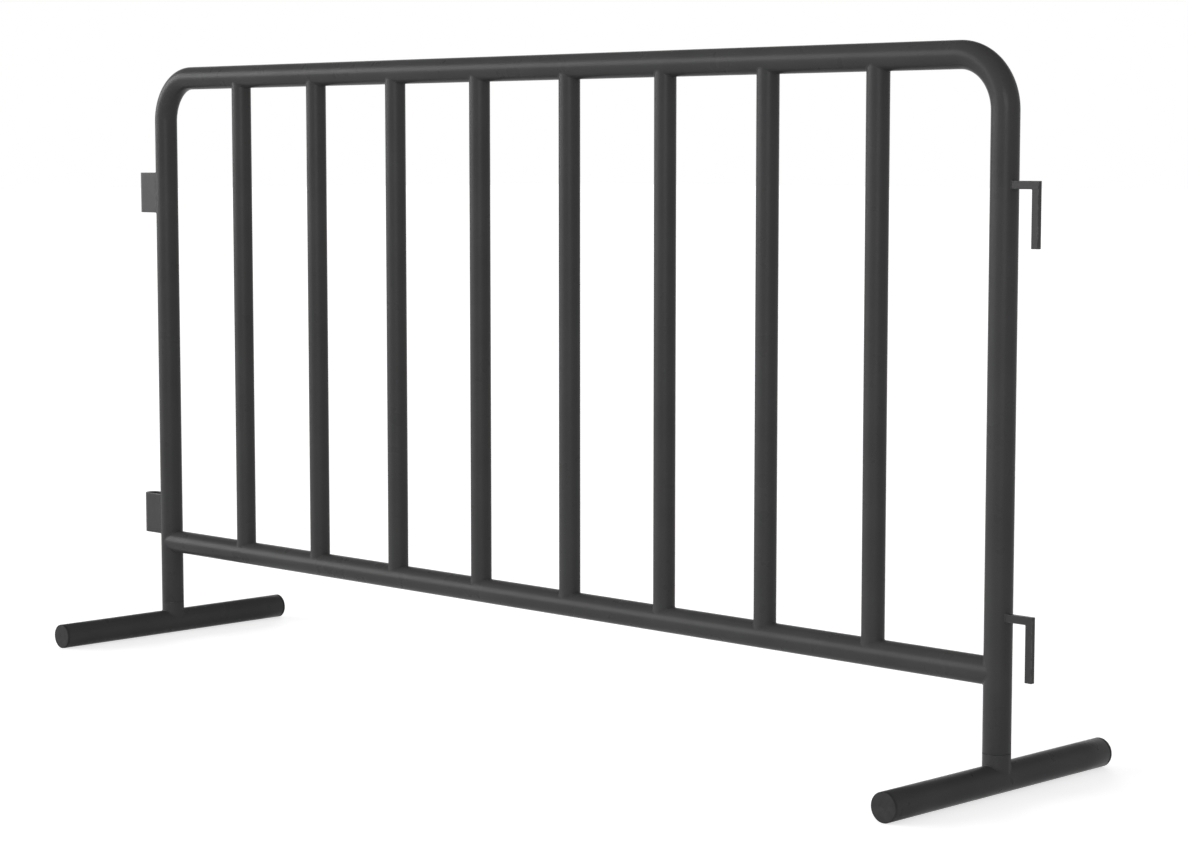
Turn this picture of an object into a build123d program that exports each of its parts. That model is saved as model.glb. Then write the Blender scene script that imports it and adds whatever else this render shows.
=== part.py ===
from build123d import *
import os

# A free-standing barrier panel for lining a route or holding back a crowd. A tube is bent into a frame with
# two legs, a bottom rail and upright bars fill it, hooks on one leg drop into loops on the next panel's leg,
# and a round cross foot turns under each leg so that panels can be stacked flat.
# Millimetres, +Z up. The origin is on the ground midway between the legs. X runs along the panel, from the
# loops to the hooks, and the front of the panel faces -Y.

# Overall sizes
panel_height = 1100.0  # ground to the top of the frame
leg_spacing = 2000.0  # between the axes of the two legs
foot_length = 525.0  # over both end caps

# Frame tube and bottom rail, cut from the same tube
frame_od = 42.4
frame_wall = 2.0
bend_radius = 82.0  # at the axis of the tube
bottom_rail_height = 181.0  # ground to the axis of the rail

# Upright bars
bar_od = 36.0
bar_wall = 1.5
bar_count = 8
bar_from_leg = 235.0  # axis of a leg to the axis of the bar next to it

# Hooks, cut from plate
hook_plate = 8.0  # thickness
hook_width = 12.0  # of the arm and of the drop
hook_reach = 67.0  # axis of the leg to the outer face of the drop
hook_forward = 6.0  # axis of the leg to the middle of the plate, towards the front
hook_height = 97.0  # top of the arm to the tip of the drop
hook_edge = 0.8  # rounding of the cut edges
hook_below_top = 203.0  # top of the frame to the top of the upper hook
hook_above_rail = 89.0  # axis of the bottom rail to the top of the lower hook

# Loops, bent from strap
strap = 4.0  # thickness
strap_edge = 0.6  # rounding of the rims
loop_width = 30.0
loop_reach = 74.0  # axis of the leg to the outside of the loop's nose
loop_height = 77.0
loop_above_hook = 2.0  # top of a hook to the top of the loop at its level

# Cross feet and their end caps
foot_od = 45.0
foot_wall = 2.5
cap_head = 5.0  # thickness of the part of a cap that shows
cap_edge = 1.0  # rounding of its rim
cap_plug = 20.0  # depth of a cap inside the foot
cap_wall = 3.0
cap_rib = 1.5  # thickness of each rib that grips the foot
cap_rib_count = 3
cap_rib_height = 2.0
cap_play = 0.05  # between a rib and the foot

# Swivel between a foot and its leg
collar_rise = 15.0  # top of the foot to the top of the collar
washer_thickness = 1.5
swivel_gap = 0.3  # between the washer and the end of the leg
spigot_wall = 3.0
spigot_length = 90.0  # inside the leg
spigot_play = 0.2  # all round, inside the leg and the collar
turn_angle = 90.0

# Screw that keeps the spigot in the leg, and the nut that it turns in
screw_d = 8.0
screw_bearing = 135.0  # round the leg from +X towards +Y, so behind the leg
screw_above_leg_end = 45.0
screw_hole_play = 0.2
screw_recess = 0.5  # outer end of the screw below the face of the nut
screw_point_d = 5.5
screw_point_reach = 0.4  # past the inside of the spigot
screw_socket = 4.0  # across flats
screw_socket_depth = 4.0
thread_play = 0.05
slot_play = 0.35  # around the point of the screw
nut_across_flats = 13.0
nut_height = 6.5
nut_edge = 0.8

weld_gap = 0.2  # between a shaped tube end and the tube that it is welded to

# Places that follow from the sizes above
leg_x = leg_spacing / 2
frame_r = frame_od / 2
frame_bore_r = frame_r - frame_wall
weld_r = frame_r + weld_gap
top_rail_height = panel_height - frame_r
hook_levels = {
    "upper": panel_height - hook_below_top,
    "lower": bottom_rail_height + hook_above_rail,
}
foot_r = foot_od / 2
foot_bore_r = foot_r - foot_wall
collar_top = foot_od + collar_rise
washer_top = collar_top + washer_thickness
leg_end = washer_top + swivel_gap
spigot_r = frame_bore_r - spigot_play
screw_height = leg_end + screw_above_leg_end
screw_dir = Vector(1, 0, 0).rotate(Axis.Z, screw_bearing)
slot_dir = screw_dir.rotate(Axis.Z, -turn_angle)  # where the screw is in the slot after the whole turn
nut_face = frame_r + nut_height
on_axis = (Align.CENTER, Align.CENTER, Align.MIN)

os.makedirs("parts", exist_ok=True)


def save(piece, name):
    """Label a finished piece and write it to a file of its own."""
    piece.part.label = name
    export_step(piece.part, f"parts/{name}.step")


# Frame: one tube bent into both legs and the top rail, with a screw hole in the back of each leg
with BuildPart() as frame_tube:
    with BuildLine(Plane.XZ) as frame_axis:
        FilletPolyline(
            (-leg_x, leg_end),
            (-leg_x, top_rail_height),
            (leg_x, top_rail_height),
            (leg_x, leg_end),
            radius=bend_radius,
        )
    with BuildSketch(Plane(origin=frame_axis.line @ 0, z_dir=frame_axis.line % 0)):
        Circle(frame_r)
        Circle(frame_bore_r, mode=Mode.SUBTRACT)
    sweep()
    for x in (-leg_x, leg_x):
        with Locations(Plane((x, 0, screw_height), z_dir=screw_dir).offset(frame_r)):
            Hole(screw_d / 2 + screw_hole_play, depth=frame_r)
save(frame_tube, "frame_tube")

# Bottom rail: a straight tube with its ends shaped to the legs
with BuildPart() as bottom_rail:
    with BuildSketch(Plane.YZ.offset(-leg_x)):
        with Locations((0, bottom_rail_height)):
            Circle(frame_r)
            Circle(frame_bore_r, mode=Mode.SUBTRACT)
    extrude(amount=leg_spacing)
    with Locations((-leg_x, 0, bottom_rail_height), (leg_x, 0, bottom_rail_height)):
        Cylinder(weld_r, 2 * frame_od, mode=Mode.SUBTRACT)
save(bottom_rail, "bottom_rail")

# Upright bars: straight tubes with both ends shaped to the rails, at an even pitch
bar_pitch = (leg_spacing - 2 * bar_from_leg) / (bar_count - 1)
bar_span = top_rail_height - bottom_rail_height
for number in range(bar_count):
    bar_x = -leg_x + bar_from_leg + number * bar_pitch
    with BuildPart(Plane((bar_x, 0, bottom_rail_height))) as bar:
        Cylinder(bar_od / 2, bar_span, align=on_axis)
        Cylinder(bar_od / 2 - bar_wall, bar_span, align=on_axis, mode=Mode.SUBTRACT)
        with Locations((0, 0, 0), (0, 0, bar_span)):
            Cylinder(weld_r, 2 * bar_od, rotation=(0, 90, 0), mode=Mode.SUBTRACT)
    save(bar, f"bar_{number + 1}")

# Hooks on the right leg: an arm with a drop at its end, with the root of the arm shaped to the leg
for level_name, level in hook_levels.items():
    drop_x = leg_x + hook_reach - hook_width
    with BuildPart() as hook:
        with BuildSketch(Plane.XZ.offset(hook_forward)):
            with BuildLine():
                Polyline(
                    (leg_x, level),
                    (leg_x + hook_reach, level),
                    (leg_x + hook_reach, level - hook_height),
                    (drop_x, level - hook_height),
                    (drop_x, level - hook_width),
                    (leg_x, level - hook_width),
                    close=True,
                )
            make_face()
        extrude(amount=hook_plate / 2, both=True)
        fillet(hook.edges(), hook_edge)
        with Locations((leg_x, 0, level)):
            Cylinder(weld_r, 2 * hook_height, mode=Mode.SUBTRACT)
    save(hook, f"hook_{level_name}")

# Loops on the left leg: a strap bent to a U, whose top rim carries the arm of the next panel's hook
nose_x = loop_reach - loop_width / 2
for level_name, level in hook_levels.items():
    loop_top = level + loop_above_hook
    with BuildPart() as loop:
        with BuildSketch(Plane((-leg_x, 0, loop_top), x_dir=(-1, 0, 0))):
            with Locations((nose_x / 2, 0)):
                Rectangle(nose_x, loop_width)
            with Locations((nose_x, 0)):
                Circle(loop_width / 2)
                Circle(loop_width / 2 - strap, mode=Mode.SUBTRACT)
            with Locations((nose_x / 2, 0)):
                Rectangle(nose_x, loop_width - 2 * strap, mode=Mode.SUBTRACT)
        extrude(amount=-loop_height)
        rims = loop.edges().group_by(Axis.Z)
        fillet(rims[0] + rims[-1], strap_edge)
        with Locations((-leg_x, 0, loop_top)):
            Cylinder(weld_r, 2 * loop_height + strap, mode=Mode.SUBTRACT)
    save(loop, f"loop_{level_name}")

for side, x in {"left": -leg_x, "right": leg_x}.items():
    # Cross foot: a straight tube on the ground, square to the panel
    with BuildPart(Plane((x, 0, foot_r), z_dir=(0, 1, 0))) as foot_tube:
        Cylinder(foot_r, foot_length - 2 * cap_head)
        Cylinder(foot_bore_r, foot_length, mode=Mode.SUBTRACT)
    save(foot_tube, f"foot_tube_{side}")

    # End caps: a rounded head over the end of the foot and a hollow ribbed plug inside it
    for end, outward in {"front": -1, "rear": 1}.items():
        end_plane = Plane((x, outward * foot_length / 2, foot_r), x_dir=(1, 0, 0), z_dir=(0, outward, 0))
        with BuildPart(end_plane.offset(-cap_head)) as foot_cap:
            Cylinder(foot_r, cap_head, align=on_axis)
            fillet(foot_cap.edges().sort_by(Axis.Y)[-1 if outward > 0 else 0], cap_edge)
            plug_r = foot_bore_r - cap_play - cap_rib_height
            with Locations((0, 0, -cap_plug)):
                Cylinder(plug_r, cap_plug, align=on_axis)
                Cylinder(plug_r - cap_wall, cap_plug, align=on_axis, mode=Mode.SUBTRACT)
            rib_pitch = (cap_plug - cap_rib) / cap_rib_count
            for rib in range(cap_rib_count):
                with Locations((0, 0, -cap_plug + rib * rib_pitch)):
                    Cylinder(foot_bore_r - cap_play, cap_rib, align=on_axis)
                    Cylinder(plug_r - cap_wall, cap_rib, align=on_axis, mode=Mode.SUBTRACT)
        save(foot_cap, f"foot_cap_{side}_{end}")

    # Collar: a short tube as wide as the leg, shaped to the top of the foot
    with BuildPart(Plane((x, 0, foot_r))) as foot_collar:
        Cylinder(frame_r, collar_top - foot_r, align=on_axis)
        Cylinder(frame_bore_r, collar_top - foot_r, align=on_axis, mode=Mode.SUBTRACT)
        Cylinder(foot_r + weld_gap, 2 * frame_od, rotation=(90, 0, 0), mode=Mode.SUBTRACT)
    save(foot_collar, f"foot_collar_{side}")

    # Spigot: the post inside the collar on which the leg turns, slotted through the turn for the screw
    with BuildPart() as foot_spigot:
        spigot_height = leg_end + spigot_length - foot_r
        with Locations((x, 0, foot_r)):
            Cylinder(spigot_r, spigot_height, align=on_axis)
            Cylinder(spigot_r - spigot_wall, spigot_height, align=on_axis, mode=Mode.SUBTRACT)
            Cylinder(foot_r + weld_gap, 2 * frame_od, rotation=(90, 0, 0), mode=Mode.SUBTRACT)
        slot_r = screw_point_d / 2 + slot_play
        with BuildSketch(Plane((x, 0, screw_height), x_dir=slot_dir, z_dir=slot_dir.rotate(Axis.Z, -90))):
            with Locations((spigot_r, 0)):
                Rectangle(3 * spigot_wall, 2 * slot_r)
        turn_axis = Axis((x, 0, 0), (0, 0, 1))
        revolve(axis=turn_axis, revolution_arc=turn_angle, mode=Mode.SUBTRACT)
        for slot_end in (slot_dir, screw_dir):
            with Locations(Plane((x, 0, screw_height), z_dir=slot_end)):
                Cylinder(slot_r, frame_od, align=on_axis, mode=Mode.SUBTRACT)
    save(foot_spigot, f"foot_spigot_{side}")

    # Washer: a thin ring on the collar that the end of the leg turns on
    with BuildPart(Plane((x, 0, collar_top))) as foot_washer:
        Cylinder(frame_r, washer_thickness, align=on_axis)
        Cylinder(frame_bore_r, washer_thickness, align=on_axis, mode=Mode.SUBTRACT)
    save(foot_washer, f"foot_washer_{side}")

    # Nut: a hexagon welded over the screw hole, with its base shaped to the leg
    screw_plane = Plane((x, 0, screw_height), x_dir=(0, 0, 1), z_dir=screw_dir)
    with BuildPart() as screw_nut:
        with BuildSketch(screw_plane):
            RegularPolygon(nut_across_flats / 2, side_count=6, major_radius=False)
        extrude(amount=nut_face)
        outer_face = screw_nut.faces().sort_by(Axis(screw_plane.origin, screw_dir))[-1]
        chamfer(outer_face.edges(), nut_edge)
        with Locations((x, 0, screw_height)):
            Cylinder(weld_r, 2 * frame_od, mode=Mode.SUBTRACT)
        with Locations(screw_plane.offset(nut_face)):
            Hole(screw_d / 2 + thread_play)
    save(screw_nut, f"screw_nut_{side}")

    # Screw: a headless set screw with a hexagon socket, whose plain point runs in the slot of the spigot
    with BuildPart(screw_plane) as set_screw:
        shank_start = frame_bore_r + screw_hole_play
        shank_end = nut_face - screw_recess
        point_start = spigot_r - spigot_wall - screw_point_reach
        with Locations((0, 0, shank_start)):
            Cylinder(screw_d / 2, shank_end - shank_start, align=on_axis)
        with Locations((0, 0, point_start)):
            Cylinder(screw_point_d / 2, shank_start - point_start, align=on_axis)
        with BuildSketch(screw_plane.offset(shank_end)):
            RegularPolygon(screw_socket / 2, side_count=6, major_radius=False)
        extrude(amount=-screw_socket_depth, mode=Mode.SUBTRACT)
    save(set_screw, f"set_screw_{side}")
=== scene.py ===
import math

import bmesh
import bpy
import numpy as np
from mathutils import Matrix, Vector


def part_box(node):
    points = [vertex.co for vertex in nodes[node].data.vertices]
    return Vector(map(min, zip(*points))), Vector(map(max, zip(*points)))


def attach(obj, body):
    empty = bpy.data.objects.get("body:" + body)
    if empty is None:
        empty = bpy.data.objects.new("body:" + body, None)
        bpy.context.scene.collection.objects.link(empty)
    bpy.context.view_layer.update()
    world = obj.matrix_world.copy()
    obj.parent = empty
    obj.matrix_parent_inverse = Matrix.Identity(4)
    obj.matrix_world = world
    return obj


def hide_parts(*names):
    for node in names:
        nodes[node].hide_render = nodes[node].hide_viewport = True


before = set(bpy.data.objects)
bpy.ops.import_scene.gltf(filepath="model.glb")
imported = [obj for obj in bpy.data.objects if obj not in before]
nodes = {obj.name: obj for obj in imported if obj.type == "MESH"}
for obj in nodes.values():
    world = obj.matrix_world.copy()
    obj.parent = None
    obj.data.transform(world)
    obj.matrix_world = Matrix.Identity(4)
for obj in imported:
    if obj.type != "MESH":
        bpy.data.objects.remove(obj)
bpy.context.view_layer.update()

# Frame tube: both legs and the top rail in one length of 42.4 mm steel tube, bent cold round a former.
# After welding, the frame and the feet are powder coated in satin dark grey.
# The coat is a little clouded, with a fine orange peel and marks from handling.
tube_r = 0.0212
tube_wall = 0.002
tube_bore = tube_r - tube_wall
tube_rim = 0.0005  # rounding of the deburred ends
rim_middle = 0.3 * tube_rim  # how far the middle of that rounding is from the end and from the outside
bend_r = 0.082
tube_low, tube_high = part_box("frame_tube")
leg_x = tube_high.x - tube_r
leg_end = tube_low.z
top_rail_z = tube_high.z - tube_r
around_tube = 96  # points in a ring
around_bend = 32  # rings in a bend
along_straight = 0.05  # between rings on the straight runs
sharp_edge = 40.0  # degrees

coat_grey = 0.040
coat_specular = 0.05
coat_roughness = (0.27, 0.33)
noise_span = (0.35, 0.65)  # nearly all of a noise lies between these
cloud_size = 0.11
cloud_shade = 0.06  # how much darker and lighter, as a share of the grey
speck_size = 0.0007
speck_span = (0.52, 0.72)
speck_strength = 0.30
speck_shade = 1.5
mark_size = 0.035
peel_size = 0.0022
peel_depth = 0.00010
grit_size = 0.0005
grit_depth = 0.000012
coat_wear_reach = 0.0010  # how far in from an edge the coat is rubbed
coat_wear_size = 0.006
coat_wear_span = (0.46, 0.60)
coat_wear_strength = 0.7
edge_rays = 8
edge_span = (0.96, 0.82)  # how open the inside of a piece is under a flat face, and under an edge


def grains(tree, size, detail):
    """Noise over the piece, in its own coordinates, with grains about size metres across."""
    place = tree.nodes.new("ShaderNodeTexCoord")
    noise = tree.nodes.new("ShaderNodeTexNoise")
    noise.inputs["Scale"].default_value = 1.0 / size
    noise.inputs["Detail"].default_value = detail
    tree.links.new(place.outputs["Object"], noise.inputs["Vector"])
    return noise.outputs["Fac"]


def stretch(tree, value, span, low, high):
    """The value spread from its span to low..high, and held at both ends; high may vary too."""
    spread = tree.nodes.new("ShaderNodeMapRange")
    spread.inputs["From Min"].default_value = span[0]
    spread.inputs["From Max"].default_value = span[1]
    spread.inputs["To Min"].default_value = low
    if isinstance(high, float):
        spread.inputs["To Max"].default_value = high
    else:
        tree.links.new(high, spread.inputs["To Max"])
    tree.links.new(value, spread.inputs["Value"])
    return spread.outputs["Result"]


def times(tree, first, second):
    """The product of two shares that vary over the piece."""
    product = tree.nodes.new("ShaderNodeMath")
    product.operation = "MULTIPLY"
    tree.links.new(first, product.inputs[0])
    tree.links.new(second, product.inputs[1])
    return product.outputs[0]


def cover(tree, share, under, over):
    """One colour laid over another by a share that varies; under is a grey or an earlier cover."""
    layer = tree.nodes.new("ShaderNodeMix")
    layer.data_type = "RGBA"
    tree.links.new(share, layer.inputs[0])
    if isinstance(under, float):
        layer.inputs[6].default_value = (under, under, under, 1.0)
    else:
        tree.links.new(under, layer.inputs[6])
    layer.inputs[7].default_value = (over, over, over, 1.0)
    return layer.outputs[2]


def relief(tree, height, depth, under=None):
    """A bump of that depth in metres, over an earlier one."""
    bump = tree.nodes.new("ShaderNodeBump")
    bump.inputs["Distance"].default_value = depth
    tree.links.new(height, bump.inputs["Height"])
    if under is not None:
        tree.links.new(under, bump.inputs["Normal"])
    return bump.outputs["Normal"]


def outer_edges(tree, reach):
    """A share that is 1 along the edges of a piece, where a short way into it comes out at the side."""
    inside = tree.nodes.new("ShaderNodeAmbientOcclusion")
    inside.inside = True
    inside.only_local = True
    inside.samples = edge_rays
    inside.inputs["Distance"].default_value = reach
    return stretch(tree, inside.outputs["AO"], edge_span, 0.0, 1.0)


def new_finish(name):
    """A new material, its node tree and its shader."""
    material = bpy.data.materials.new(name)
    material.use_nodes = True
    tree = material.node_tree
    return material, tree, tree.nodes["Principled BSDF"]


def powder_coat(name, grey, specular=coat_specular, rubbed_grey=None):
    """Satin powder coat: clouded grey with powder specks, orange peel, and handling marks in the gloss.
    A piece that others rub on has its edges worn in patches to rubbed_grey."""
    material, tree, shader = new_finish(name)
    shader.inputs["Specular IOR Level"].default_value = specular
    clouds = stretch(tree, grains(tree, cloud_size, detail=3.0), noise_span, 0.0, 1.0)
    colour = cover(tree, clouds, grey * (1.0 - cloud_shade), grey * (1.0 + cloud_shade))
    specks = stretch(tree, grains(tree, speck_size, detail=1.0), speck_span, 0.0, speck_strength)
    colour = cover(tree, specks, colour, grey * speck_shade)
    if rubbed_grey is not None:
        patches = grains(tree, coat_wear_size, detail=3.0)
        patches = stretch(tree, patches, coat_wear_span, 0.0, coat_wear_strength)
        worn = times(tree, outer_edges(tree, coat_wear_reach), patches)
        colour = cover(tree, worn, colour, rubbed_grey)
    tree.links.new(colour, shader.inputs["Base Color"])
    marks = stretch(tree, grains(tree, mark_size, detail=4.0), noise_span, *coat_roughness)
    tree.links.new(marks, shader.inputs["Roughness"])
    peel = relief(tree, grains(tree, peel_size, detail=1.0), peel_depth)
    grit = relief(tree, grains(tree, grit_size, detail=1.0), grit_depth, peel)
    tree.links.new(grit, shader.inputs["Normal"])
    return material


def new_piece(name, points, faces, material, body, sharp=sharp_edge):
    """A finished mesh on its body: normals outward, and smooth except at edges of that angle or more."""
    mesh = bpy.data.meshes.new(name)
    mesh.from_pydata(points, [], faces)
    work = bmesh.new()
    work.from_mesh(mesh)
    bmesh.ops.recalc_face_normals(work, faces=work.faces)
    work.to_mesh(mesh)
    work.free()
    mesh.shade_smooth()
    mesh.set_sharp_from_angle(angle=math.radians(sharp))
    mesh.materials.append(material)
    piece = bpy.data.objects.new(name, mesh)
    bpy.context.scene.collection.objects.link(piece)
    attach(piece, body)
    return piece


def ring_faces(rings, around, start=0):
    """Faces of a skin through rings of points that closes on itself both ways."""
    faces = []
    for i in range(rings):
        here, there = start + i * around, start + (i + 1) % rings * around
        for j in range(around):
            k = (j + 1) % around
            faces.append((here + j, there + j, there + k, here + k))
    return faces


def tube_axis():
    """Stations along the tube's axis, left leg to right leg: x, z and the angle of the outer side."""
    straight_x = leg_x - bend_r
    straight_z = top_rail_z - bend_r
    leg_steps = round((straight_z - leg_end) / along_straight)
    rail_steps = round(2.0 * straight_x / along_straight)

    def bend(centre_x, first, last):
        """Stations round one bend."""
        angles = np.linspace(first, last, around_bend, endpoint=False)
        return [(centre_x + bend_r * math.cos(a), straight_z + bend_r * math.sin(a), a) for a in angles]

    stations = [(-leg_x, z, math.pi) for z in np.linspace(leg_end, straight_z, leg_steps, endpoint=False)]
    stations += bend(-straight_x, math.pi, math.pi / 2)
    for x in np.linspace(-straight_x, straight_x, rail_steps, endpoint=False):
        stations.append((x, top_rail_z, math.pi / 2))
    stations += bend(straight_x, math.pi / 2, 0.0)
    stations += [(leg_x, z, 0.0) for z in np.linspace(straight_z, leg_end, leg_steps + 1)]
    return stations


def leg_end_rings(x, z, angle):
    """Rings over the deburred end of a leg, from the bore to the outside."""
    return [
        (x, z + tube_rim, angle, tube_bore),
        (x, z, angle, tube_bore + tube_rim),
        (x, z, angle, tube_r - tube_rim),
        (x, z + rim_middle, angle, tube_r - rim_middle),
        (x, z + tube_rim, angle, tube_r),
    ]


stations = tube_axis()
outside = [(*station, tube_r) for station in stations[1:-1]]
inside = [(*station, tube_bore) for station in stations[-2:0:-1]]
tube_rings = leg_end_rings(*stations[0]) + outside + leg_end_rings(*stations[-1])[::-1] + inside
turn = np.linspace(0.0, 2.0 * math.pi, around_tube, endpoint=False)
tube_points = []
for x, z, angle, r in tube_rings:
    for t in turn:
        out = r * math.cos(t)
        tube_points.append((x + out * math.cos(angle), r * math.sin(t), z + out * math.sin(angle)))
tube_faces = ring_faces(len(tube_rings), around_tube)
coat = powder_coat("satin_powder_coat", coat_grey)
frame_tube = new_piece("bent_frame_tube", tube_points, tube_faces, coat, "frame")
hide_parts("frame_tube")

# Screw holes: one drilled through the back of each leg before the weld nut goes over it.
# They are cut out of the tube's mesh with a drill of the same size, and nothing of the drill is left.
screw_hole_r = 0.0042
drill_length = 6 * tube_wall
around_hole = 48
nut_low, nut_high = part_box("screw_nut_right")
nut_middle = (nut_low + nut_high) / 2
screw_z = nut_middle.z
screw_way = Vector((nut_middle.x - leg_x, nut_middle.y, 0.0)).normalized()
for side in (-1, 1):
    drill_mesh = bpy.data.meshes.new("drill")
    work = bmesh.new()
    bmesh.ops.create_cone(
        work,
        cap_ends=True,
        segments=around_hole,
        radius1=screw_hole_r,
        radius2=screw_hole_r,
        depth=drill_length,
    )
    work.to_mesh(drill_mesh)
    work.free()
    drill = bpy.data.objects.new("drill", drill_mesh)
    drill.location = Vector((side * leg_x, 0.0, screw_z)) + (tube_r - tube_wall / 2) * screw_way
    drill.rotation_euler = screw_way.to_track_quat("Z", "Y").to_euler()
    bpy.context.scene.collection.objects.link(drill)
    cut = frame_tube.modifiers.new("hole", "BOOLEAN")
    cut.operation = "DIFFERENCE"
    cut.solver = "EXACT"
    cut.object = drill
    bpy.context.view_layer.update()
    drilled = frame_tube.evaluated_get(bpy.context.evaluated_depsgraph_get())
    drilled_mesh = bpy.data.meshes.new_from_object(drilled)
    frame_tube.modifiers.clear()
    frame_tube.data = drilled_mesh
    bpy.data.objects.remove(drill)
    bpy.data.meshes.remove(drill_mesh)

# Bottom rail: a straight length of the same tube, its ends sawn round to the legs and welded all round.
# A weld run is a small crowned bead with a ripple for each dab of the torch, and it wavers a little.
# It is coated with the rest.
along_x, along_y, along_z = np.eye(3)
rail_low, rail_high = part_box("bottom_rail")
bottom_rail_z = (rail_low.z + rail_high.z) / 2
rail_bead = 0.0016
ripple_pitch = 0.0014
bead_step = ripple_pitch / 4  # between the rings of a bead
bead_points = 9  # across the face of a bead
bead_crown = 0.26  # height of the face over its chord, in bead sizes
bead_sink = 0.03  # how far its toes run into both surfaces, in bead sizes
bead_root = 0.35  # how far its back runs into the corner, in bead sizes
bead_sharp_edge = 75.0
ripple_depth = 0.12  # in bead sizes
ripple_base = 0.4  # share of a ripple that is under the crown
ripple_curl = 1.6  # how much steeper a ripple is at its end
ripple_bow = 0.5  # how far the middle of a ripple trails its ends, in ripples
flush_bead = 0.3  # share of the size that is left where the two surfaces run into each other
widest = 0.985  # share of the tube's radius past which a piece as wide as the tube is taken as flush
slow_waver = (3.0, 0.06)  # waves in a run, and their height as a share of the size
quick_waver = (7.0, 0.05)


def coat_node(name, material):
    """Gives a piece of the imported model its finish."""
    for slot in nodes[name].material_slots:
        slot.material = material


def round_section(r):
    """Points round a tube and the way each faces, as pairs across its axis."""
    angle = np.linspace(0.0, 2.0 * math.pi, round(2.0 * math.pi * r / bead_step), endpoint=False)
    facing = np.stack((np.cos(angle), np.sin(angle)), axis=1)
    return r * facing, facing


def weld_run(origin, stand, run, section, base_r, size, start):
    """Rings of a bead where a piece of that section stands on a round tube of radius base_r.
    The tube's axis goes through origin along run, and the piece points away from it along stand.
    Each start gives a run its own waver."""
    aside = np.cross(stand, run)
    place, facing = section
    u, v = place[:, 0], np.clip(place[:, 1], -widest * base_r, widest * base_r)
    w = np.sqrt(base_r**2 - v**2)

    def at(u, v, w):
        """Points that lie u along the tube, v to its side and w out from its axis."""
        return origin + np.outer(u, run) + np.outer(v, aside) + np.outer(w, stand)

    # Size of the bead at each ring: less where the surfaces run into each other, and wavering.
    flush = np.abs(facing[:, 1] * v / base_r)
    size = size * (flush_bead + (1.0 - flush_bead) * np.sqrt(1.0 - flush**2))
    lap = np.linspace(0.0, 2.0 * math.pi, len(u), endpoint=False) + start
    slow = slow_waver[1] * np.sin(slow_waver[0] * lap)
    quick = quick_waver[1] * np.sin(quick_waver[0] * lap + 2.0 * start)
    leg = size * (1.0 + slow + quick)

    # Corner that the bead fills, the way it faces, and its toes on the piece and on the tube.
    root = at(u, v, w)
    out = at(facing[:, 0], facing[:, 1] + v / base_r, w / base_r) - origin
    out /= np.linalg.norm(out, axis=1)[:, None]
    sink = bead_sink * size[:, None] * out
    toe_piece = at(u, place[:, 1], w + leg) - sink
    roll = np.arcsin(v / base_r) + leg * facing[:, 1] / base_r
    toe_base = at(u + leg * facing[:, 0], base_r * np.sin(roll), base_r * np.cos(roll)) - sink

    # Crowned face from toe to toe, with the ripples bowed along the run.
    gap = np.linalg.norm(np.roll(root, -1, axis=0) - root, axis=1)
    ripples = round(gap.sum() / ripple_pitch)
    gone = np.concatenate(([0.0], np.cumsum(gap)[:-1])) / gap.sum()
    across = np.linspace(0.0, 1.0, bead_points)
    crown = 4.0 * across * (1.0 - across)
    phase = (gone[:, None] * ripples - ripple_bow * crown) % 1.0
    ripple = ripple_depth * (phase**ripple_curl - ripple_base)
    height = size[:, None] * crown * (bead_crown + ripple)
    face = toe_piece[:, None] * (1.0 - across)[:, None] + toe_base[:, None] * across[:, None]
    face = face + out[:, None] * height[:, :, None]
    keel = root - bead_root * size[:, None] * out
    return np.concatenate((face, keel[:, None]), axis=1)


def weld_piece(name, runs, body):
    """The weld runs of one joint or row of joints, as one coated piece."""
    points, faces = [], []
    for rings in runs:
        faces += ring_faces(len(rings), bead_points + 1, len(points))
        points += rings.reshape(-1, 3).tolist()
    return new_piece(name, points, faces, coat, body, bead_sharp_edge)


coat_node("bottom_rail", coat)
rail_section = round_section(tube_r)
rail_runs = []
for side, start in ((-1, 0.4), (1, 2.3)):
    origin = np.array((side * leg_x, 0.0, bottom_rail_z))
    rail_runs.append(weld_run(origin, -side * along_x, along_z, rail_section, tube_r, rail_bead, start))
weld_piece("bottom_rail_welds", rail_runs, "frame")

# Upright bars: eight lengths of 36 mm steel tube, their ends sawn round to the rails.
# Each is welded all round at the top and the bottom with a small bead.
bar_r = 0.018
bar_bead = 0.0014
bar_section = round_section(bar_r)
bar_names = sorted(name for name in nodes if name.startswith("bar_"))
for rail_name, rail_z, up in (("top", top_rail_z, -1), ("bottom", bottom_rail_z, 1)):
    bar_runs = []
    for number, name in enumerate(bar_names):
        low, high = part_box(name)
        origin = np.array(((low.x + high.x) / 2, 0.0, rail_z))
        start = 2.4 * number + up
        bar_runs.append(weld_run(origin, up * along_z, along_x, bar_section, tube_r, bar_bead, start))
    weld_piece(f"bar_welds_{rail_name}", bar_runs, "frame")
for name in bar_names:
    coat_node(name, coat)

# Hooks: two L shapes cut from 8 mm plate, their arms welded to the right leg just in front of its axis.
# They drop into the next panel's loops, so the coat is rubbed lighter along their edges.
hook_grey = 0.029
plate_specular = 0.13  # the plates are smoother than drawn tube, so their coat has more gloss
plate_rubbed = 0.13
hook_bead = 0.0016
hook_width = 0.012
hook_corner = 0.0008
corner_points = 6  # round each corner of a section


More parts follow.
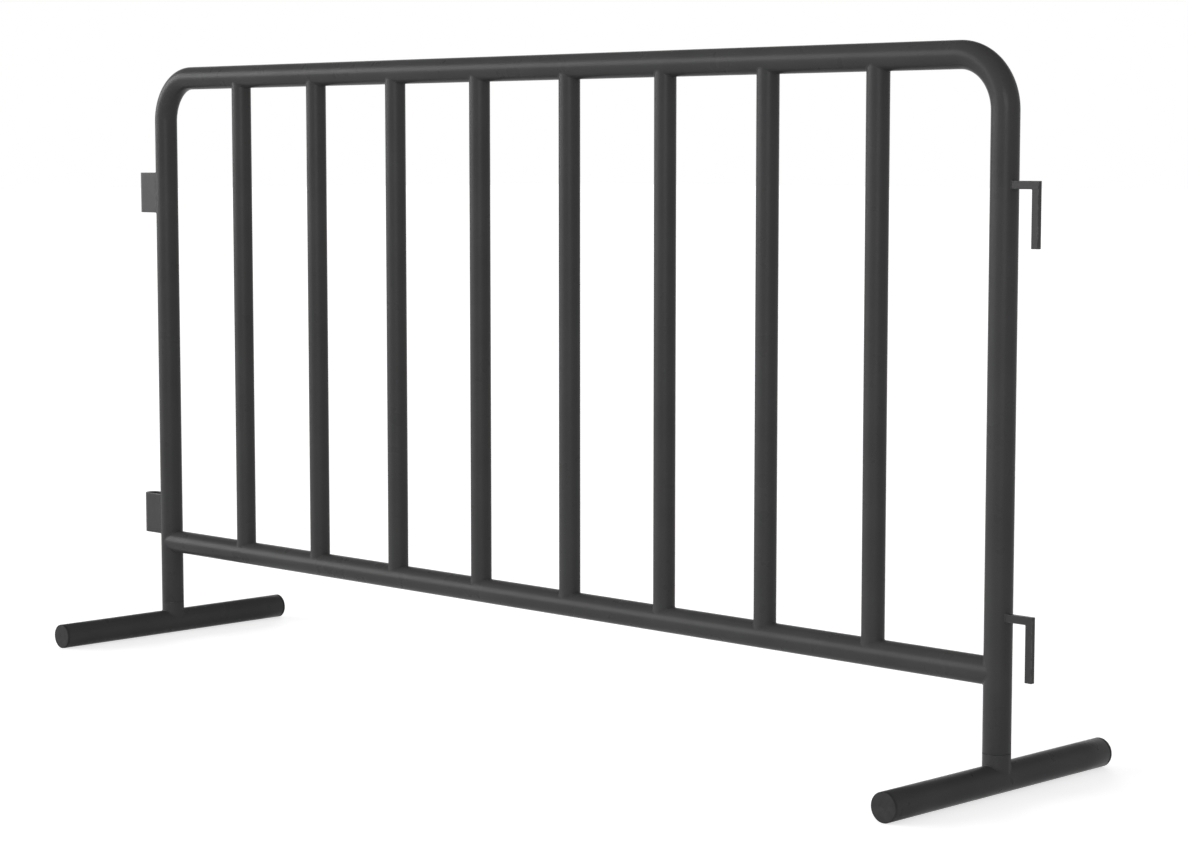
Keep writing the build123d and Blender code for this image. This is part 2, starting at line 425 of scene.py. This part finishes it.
def cut_section(corners, rounding):
    """Points round a straight-sided section with rounded corners, anticlockwise, and the way each faces."""
    corners = np.array(corners)
    sides = np.roll(corners, -1, axis=0) - corners
    ways = sides / np.linalg.norm(sides, axis=1)[:, None]
    normals = np.stack((ways[:, 1], -ways[:, 0]), axis=1)
    arcs = []
    for before, after, corner in zip(np.roll(normals, 1, axis=0), normals, corners):
        centre = corner - rounding * (before + after) / (1.0 + before @ after)
        first = math.atan2(before[1], before[0])
        sweep = math.atan2(before[0] * after[1] - before[1] * after[0], before @ after)
        angle = np.linspace(first, first + sweep, corner_points)
        arcs.append((centre, np.stack((np.cos(angle), np.sin(angle)), axis=1)))
    place, facing = [], []
    for (centre, ways), (next_centre, next_ways) in zip(arcs, arcs[1:] + arcs[:1]):
        place += [centre + rounding * way for way in ways]
        facing += list(ways)
        end, begin = centre + rounding * ways[-1], next_centre + rounding * next_ways[0]
        steps = max(2, round(np.linalg.norm(begin - end) / bead_step))
        for share in np.arange(1, steps) / steps:
            place.append(end + share * (begin - end))
            facing.append(ways[-1])
    return np.array(place), np.array(facing)


def plate_section(low_u, high_u, low_v, high_v, rounding):
    """The section of a flat bar, from its two ranges."""
    corners = ((low_u, low_v), (high_u, low_v), (high_u, high_v), (low_u, high_v))
    return cut_section(corners, rounding)


hook_coat = powder_coat("rubbed_hook_coat", hook_grey, plate_specular, plate_rubbed)
hook_runs = []
for name in ("hook_upper", "hook_lower"):
    coat_node(name, hook_coat)
    low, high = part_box(name)
    section = plate_section(0.0, hook_width, low.y, high.y, hook_corner)
    origin = np.array((leg_x, 0.0, high.z))
    hook_runs.append(weld_run(origin, along_x, -along_z, section, tube_r, hook_bead, high.z))
weld_piece("hook_welds", hook_runs, "frame")

# Loops: two straps of 4 mm steel bent to a U, both ends welded to the left leg.
# The arm of the next panel's hook rests on the rim, and rubs the coat thin along the edges.
loop_grey = 0.030
loop_bead = 0.0016
strap = 0.004
strap_corner = 0.0008
loop_coat = powder_coat("rubbed_loop_coat", loop_grey, plate_specular, plate_rubbed)
loop_runs = []
for name in ("loop_upper", "loop_lower"):
    coat_node(name, loop_coat)
    low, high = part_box(name)
    origin = np.array((-leg_x, 0.0, high.z))
    for inner, outer in ((high.y - strap, high.y), (low.y, low.y + strap)):
        section = plate_section(low.z - high.z, 0.0, inner, outer, strap_corner)
        start = outer + high.z
        loop_runs.append(weld_run(origin, -along_x, along_z, section, tube_r, loop_bead, start))
weld_piece("loop_welds", loop_runs, "frame")

# Weld nuts and set screws: a hexagon nut is welded over the hole in the back of each leg before coating.
# The screw in it is zinc plated steel with a hexagon socket.
# Its point keeps the foot's post in the leg.
nut_bead = 0.0012
nut_corner = (nut_high.z - nut_low.z) / 2
nut_edge = 0.0006
nut_rubbed = 0.11
screw_grey = 0.42
screw_roughness = 0.38
zinc_bloom_size = 0.004
zinc_shade = (0.82, 1.12)  # darkest and lightest of the bloom, as shares of the grey
zinc_dull_size = 0.0016
zinc_dull_span = (0.3, 0.7)
zinc_dull = (-0.07, 0.10)  # how far the roughness goes down and up
zinc_grain_size = 0.0004
zinc_grain_depth = 0.00001


def plated_steel(name, grey, roughness):
    """Zinc plate: bright grey metal with a fine clouded bloom and a fine grain."""
    material, tree, shader = new_finish(name)
    shader.inputs["Metallic"].default_value = 1.0
    bloom = stretch(tree, grains(tree, zinc_bloom_size, detail=4.0), noise_span, 0.0, 1.0)
    colour = cover(tree, bloom, grey * zinc_shade[0], grey * zinc_shade[1])
    tree.links.new(colour, shader.inputs["Base Color"])
    dull = grains(tree, zinc_dull_size, detail=3.0)
    dull = stretch(tree, dull, zinc_dull_span, roughness + zinc_dull[0], roughness + zinc_dull[1])
    tree.links.new(dull, shader.inputs["Roughness"])
    grain = relief(tree, grains(tree, zinc_grain_size, detail=2.0), zinc_grain_depth)
    tree.links.new(grain, shader.inputs["Normal"])
    return material


nut_coat = powder_coat("rubbed_nut_coat", coat_grey, rubbed_grey=nut_rubbed)
screw_zinc = plated_steel("screw_zinc", screw_grey, screw_roughness)
nut_outline = [(nut_corner * math.cos(a), nut_corner * math.sin(a)) for a in np.arange(6) * math.pi / 3]
nut_section = cut_section(nut_outline, nut_edge)
nut_runs = []
for side, name in ((-1, "left"), (1, "right")):
    coat_node(f"screw_nut_{name}", nut_coat)
    coat_node(f"set_screw_{name}", screw_zinc)
    origin = np.array((side * leg_x, 0.0, screw_z))
    nut_runs.append(weld_run(origin, np.array(screw_way), along_z, nut_section, tube_r, nut_bead, side))
weld_piece("nut_welds", nut_runs, "frame")

# Cross feet: a 45 mm steel tube under each leg, sawn square and deburred.
# A short collar as wide as the leg is welded on its top.
# They are coated like the frame, and the underside is scuffed and dusty from the ground.
foot_r = 0.0225
foot_bore = 0.020
collar_bead = 0.0016
scuff_height = 0.012
scuff_grey = 0.11
scuff_size = 0.009
scuff_span = (0.48, 0.66)
scuff_strength = 0.7


def ground_coat(name, grey):
    """The powder coat of a foot, scuffed through to a paler grey where it meets the ground."""
    material = powder_coat(name, grey)
    tree = material.node_tree
    colour = tree.nodes["Principled BSDF"].inputs["Base Color"]
    place = tree.nodes.new("ShaderNodeTexCoord")
    parts = tree.nodes.new("ShaderNodeSeparateXYZ")
    tree.links.new(place.outputs["Object"], parts.inputs["Vector"])
    low = stretch(tree, parts.outputs["Z"], (0.0, scuff_height), 1.0, 0.0)
    patches = stretch(tree, grains(tree, scuff_size, detail=5.0), scuff_span, 0.0, scuff_strength)
    clean = colour.links[0].from_socket
    tree.links.new(cover(tree, times(tree, low, patches), clean, scuff_grey), colour)
    return material


def foot_rings(low, high):
    """Place along and radius of each ring of a foot, over its outside and back through its bore."""
    steps = round((high - low) / along_straight)
    along = np.linspace(low + tube_rim, high - tube_rim, steps)
    rings = [(y, foot_r) for y in along]
    rings.append((high - rim_middle, foot_r - rim_middle))
    rings += [(high, foot_r - tube_rim), (high, foot_bore + tube_rim)]
    rings += [(y, foot_bore) for y in along[::-1]]
    rings += [(low, foot_bore + tube_rim), (low, foot_r - tube_rim)]
    rings.append((low + rim_middle, foot_r - rim_middle))
    return rings


foot_coat = ground_coat("scuffed_foot_coat", coat_grey)
collar_section = round_section(tube_r)
for side, name in ((-1, "left"), (1, "right")):
    low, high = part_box(f"foot_tube_{name}")
    rings = foot_rings(low.y, high.y)
    foot_points = []
    for y, r in rings:
        for t in turn:
            foot_points.append((side * leg_x + r * math.cos(t), y, foot_r + r * math.sin(t)))
    foot_faces = ring_faces(len(rings), around_tube)
    foot = new_piece(f"cross_foot_{name}", foot_points, foot_faces, foot_coat, f"foot_{name}")
    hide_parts(f"foot_tube_{name}")
    coat_node(f"foot_collar_{name}", coat)
    origin = np.array((side * leg_x, 0.0, foot_r))
    run = weld_run(origin, along_z, along_y, collar_section, foot_r, collar_bead, 1.3 * side)
    weld_piece(f"collar_weld_{name}", [run], f"foot_{name}")

# Swivel: a zinc plated post stands in each collar and runs up inside the leg.
# A thin dark grey nylon washer on the collar carries the end of the leg as it turns.
post_grey = 0.50
post_roughness = 0.42
washer_grey = 0.042
washer_roughness = 0.5
washer_grain = 0.0006
plastic_specular = 0.04
plastic_bloom_size = 0.012
plastic_shade = 0.10  # how much darker and lighter, as a share of the grey
plastic_dull_size = 0.008
plastic_dull_span = (0.3, 0.7)
plastic_dull = (-0.05, 0.07)  # how far the roughness goes down and up
plastic_grain_depth = 0.00003
plastic_wear_reach = 0.0008
plastic_wear_size = 0.005
plastic_wear_span = (0.48, 0.62)
plastic_wear_strength = 0.6


def moulded_plastic(name, grey, roughness, grain_size, rubbed_grey=None):
    """Moulded plastic: even dark colour, slightly bloomed, with the fine grain of the mould.
    A piece that is knocked about has its edges worn in patches to rubbed_grey."""
    material, tree, shader = new_finish(name)
    shader.inputs["Specular IOR Level"].default_value = plastic_specular
    bloom = stretch(tree, grains(tree, plastic_bloom_size, detail=4.0), noise_span, 0.0, 1.0)
    colour = cover(tree, bloom, grey * (1.0 - plastic_shade), grey * (1.0 + plastic_shade))
    if rubbed_grey is not None:
        patches = grains(tree, plastic_wear_size, detail=3.0)
        patches = stretch(tree, patches, plastic_wear_span, 0.0, plastic_wear_strength)
        worn = times(tree, outer_edges(tree, plastic_wear_reach), patches)
        colour = cover(tree, worn, colour, rubbed_grey)
    tree.links.new(colour, shader.inputs["Base Color"])
    dull = grains(tree, plastic_dull_size, detail=4.0)
    dull = stretch(tree, dull, plastic_dull_span, roughness + plastic_dull[0], roughness + plastic_dull[1])
    tree.links.new(dull, shader.inputs["Roughness"])
    grain = relief(tree, grains(tree, grain_size, detail=2.0), plastic_grain_depth)
    tree.links.new(grain, shader.inputs["Normal"])
    return material


post_zinc = plated_steel("post_zinc", post_grey, post_roughness)
washer_nylon = moulded_plastic("washer_nylon", washer_grey, washer_roughness, washer_grain)
for name in ("left", "right"):
    coat_node(f"foot_spigot_{name}", post_zinc)
    coat_node(f"foot_washer_{name}", washer_nylon)

# End caps: a moulded plastic plug pushed into each end of a foot, held by three rings that grip the bore.
# The head is a flat disc with a small round rim, dished a hair towards the moulding gate in its middle.
cap_grey = 0.032
cap_rubbed = 0.070
cap_roughness = 0.55
cap_grain = 0.0005
cap_head = 0.005
cap_rim = 0.001
cap_depth = 0.025
cap_ribs = 3
cap_rib = 0.0015
cap_rib_r = 0.01995
plug_r = 0.01795
plug_bore = 0.01495
dish_r = 0.0175
dish_depth = 0.00035
dish_rings = 10
gate_r = 0.0017
gate_depth = 0.0004
gate_side = 0.0003  # slope of the gate mark's side, and the flat round it
rim_rings = 6
around_cap = 96
cap_sharp_edge = 30.0


def cap_profile():
    """Radius and depth below the face, from the middle of the face round to the middle of the back."""
    gate_floor = dish_depth + gate_depth
    profile = [(0.0, gate_floor), (gate_r, gate_floor), (gate_r + gate_side, dish_depth)]
    for r in np.linspace(gate_r + 2 * gate_side, dish_r, dish_rings):
        profile.append((r, dish_depth * (0.5 + 0.5 * math.cos(math.pi * r / dish_r))))
    for angle in np.linspace(0.0, math.pi / 2, rim_rings):
        profile.append((foot_r - cap_rim + cap_rim * math.sin(angle), cap_rim - cap_rim * math.cos(angle)))
    profile += [(foot_r, cap_head), (plug_r, cap_head)]
    rib_pitch = (cap_depth - cap_head - cap_rib) / cap_ribs
    for rib in reversed(range(cap_ribs)):
        near = cap_depth - rib * rib_pitch - cap_rib
        profile += [(plug_r, near), (cap_rib_r, near), (cap_rib_r, near + cap_rib)]
        if rib:
            profile.append((plug_r, near + cap_rib))
    profile += [(plug_bore, cap_depth), (plug_bore, cap_head), (0.0, cap_head)]
    return profile


def cap_skin(rings):
    """Faces of a skin through that many rings, with a point before the first and one after the last."""
    faces = []
    last = 1 + rings * around_cap
    for j in range(around_cap):
        k = (j + 1) % around_cap
        for here in range(1, last - around_cap, around_cap):
            there = here + around_cap
            faces.append((here + j, there + j, there + k, here + k))
        faces.append((0, 1 + j, 1 + k))
        faces.append((last, last - around_cap + k, last - around_cap + j))
    return faces


cap_plastic = moulded_plastic("cap_plastic", cap_grey, cap_roughness, cap_grain, cap_rubbed)
profile = cap_profile()
cap_faces = cap_skin(len(profile) - 2)
cap_turn = np.linspace(0.0, 2.0 * math.pi, around_cap, endpoint=False)
for side, side_x in (("left", -leg_x), ("right", leg_x)):
    for end, outward in (("front", -1), ("rear", 1)):
        node = f"foot_cap_{side}_{end}"
        low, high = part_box(node)
        face_y = high.y if outward > 0 else low.y
        cap_points = [(side_x, face_y - outward * profile[0][1], foot_r)]
        for r, depth in profile[1:-1]:
            y = face_y - outward * depth
            for t in cap_turn:
                cap_points.append((side_x + r * math.cos(t), y, foot_r + r * math.sin(t)))
        cap_points.append((side_x, face_y - outward * profile[-1][1], foot_r))
        piece = f"end_cap_{side}_{end}"
        body = f"foot_{side}"
        cap = new_piece(piece, cap_points, cap_faces, cap_plastic, body, cap_sharp_edge)
        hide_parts(node)

# Studio: a plain white floor that runs out to white walls under a dark ceiling.
# The floor and walls look as white to the eye as they do in the gloss of the coat.
# The lamps and a weak even surround light the barrier itself.
floor_half = 60.0
floor_white = 0.6
floor_glow = 0.64
surround = 0.40
wall_top = math.radians(20.0)  # as an angle above the floor
ceiling_edge = math.radians(34.0)
ceiling_grey = 0.20


def white_to_see(tree, lit, seen):
    """A strength that is lit for the light on the barrier and seen for the eye, metal and glass."""
    path = tree.nodes.new("ShaderNodeLightPath")
    rays = path.outputs["Is Camera Ray"]
    for other in ("Is Glossy Ray", "Is Transmission Ray"):
        either = tree.nodes.new("ShaderNodeMath")
        either.operation = "MAXIMUM"
        tree.links.new(rays, either.inputs[0])
        tree.links.new(path.outputs[other], either.inputs[1])
        rays = either.outputs[0]
    return stretch(tree, rays, (0.0, 1.0), lit, seen)


def floor_paper():
    """White paper that takes the barrier's shadow, with the glow that makes it white to see."""
    material, tree, shader = new_finish("floor_paper")
    tree.nodes.remove(shader)
    paper = tree.nodes.new("ShaderNodeBsdfDiffuse")
    paper.inputs["Color"].default_value = (floor_white, floor_white, floor_white, 1.0)
    glow = tree.nodes.new("ShaderNodeEmission")
    tree.links.new(white_to_see(tree, 0.0, floor_glow), glow.inputs["Strength"])
    both = tree.nodes.new("ShaderNodeAddShader")
    tree.links.new(paper.outputs[0], both.inputs[0])
    tree.links.new(glow.outputs[0], both.inputs[1])
    tree.links.new(both.outputs[0], tree.nodes["Material Output"].inputs["Surface"])
    return material


floor_corners = [(x * floor_half, y * floor_half, 0.0) for x, y in ((-1, -1), (1, -1), (1, 1), (-1, 1))]
floor_mesh = bpy.data.meshes.new("floor")
floor_mesh.from_pydata(floor_corners, [], [(0, 1, 2, 3)])
floor_mesh.materials.append(floor_paper())
floor = bpy.data.objects.new("floor", floor_mesh)
bpy.context.scene.collection.objects.link(floor)

world = bpy.data.worlds.new("surround")
world.use_nodes = True
bpy.context.scene.world = world
tree = world.node_tree
backdrop = tree.nodes["Background"]
backdrop.inputs["Color"].default_value = (1.0, 1.0, 1.0, 1.0)
ahead = tree.nodes.new("ShaderNodeTexCoord")
parts = tree.nodes.new("ShaderNodeSeparateXYZ")
tree.links.new(ahead.outputs["Generated"], parts.inputs["Vector"])
wall_span = (math.sin(wall_top), math.sin(ceiling_edge))
walls = stretch(tree, parts.outputs["Z"], wall_span, 1.0, ceiling_grey)
tree.links.new(white_to_see(tree, surround, walls), backdrop.inputs["Strength"])

# Lamps: broad distant lamps, all low: two side by side on the left, one on the right, and one behind.
# The one behind only fills the shade and leaves no highlights.
# A level of 1 would show a white card that faces the lamp as white.
lamp_width = math.radians(30.0)


def lamp(name, azimuth, elevation, level):
    """A distant soft lamp; azimuth is from +X towards +Y, in degrees."""
    data = bpy.data.lights.new(name, "SUN")
    data.angle = lamp_width
    data.energy = level * math.pi
    a, e = math.radians(azimuth), math.radians(elevation)
    towards = Vector((math.cos(a) * math.cos(e), math.sin(a) * math.cos(e), math.sin(e)))
    light = bpy.data.objects.new(name, data)
    light.rotation_euler = (-towards).to_track_quat("-Z", "Y").to_euler()
    bpy.context.scene.collection.objects.link(light)
    return light


lamp("soft_lamp_left", azimuth=-156.0, elevation=13.0, level=0.45)
lamp("soft_lamp_left_front", azimuth=-130.0, elevation=13.0, level=0.50)
lamp("soft_lamp_right_front", azimuth=-47.0, elevation=9.0, level=0.56)
fill = lamp("soft_lamp_behind", azimuth=135.0, elevation=10.0, level=0.70)
fill.visible_glossy = False

# Camera: stands off the right front corner, a little below the top rail, and looks left along the panel.
# A long lens keeps the uprights straight, and nothing is out of focus.
camera_place = (3.45253, -3.30099, 0.93499)
camera_yaw = math.radians(44.867)
camera_pitch = math.radians(5.620)
camera_lens = 85.44
camera_sensor = 36.0
looking = Vector((
    -math.sin(camera_yaw) * math.cos(camera_pitch),
    math.cos(camera_yaw) * math.cos(camera_pitch),
    -math.sin(camera_pitch),
))
camera = bpy.data.objects.new("camera", bpy.data.cameras.new("camera"))
camera.location = camera_place
camera.rotation_euler = looking.to_track_quat("-Z", "Y").to_euler()
camera.data.lens = camera_lens
camera.data.sensor_width = camera_sensor
bpy.context.scene.collection.objects.link(camera)
bpy.context.scene.camera = camera
bpy.context.scene.view_settings.view_transform = "Standard"
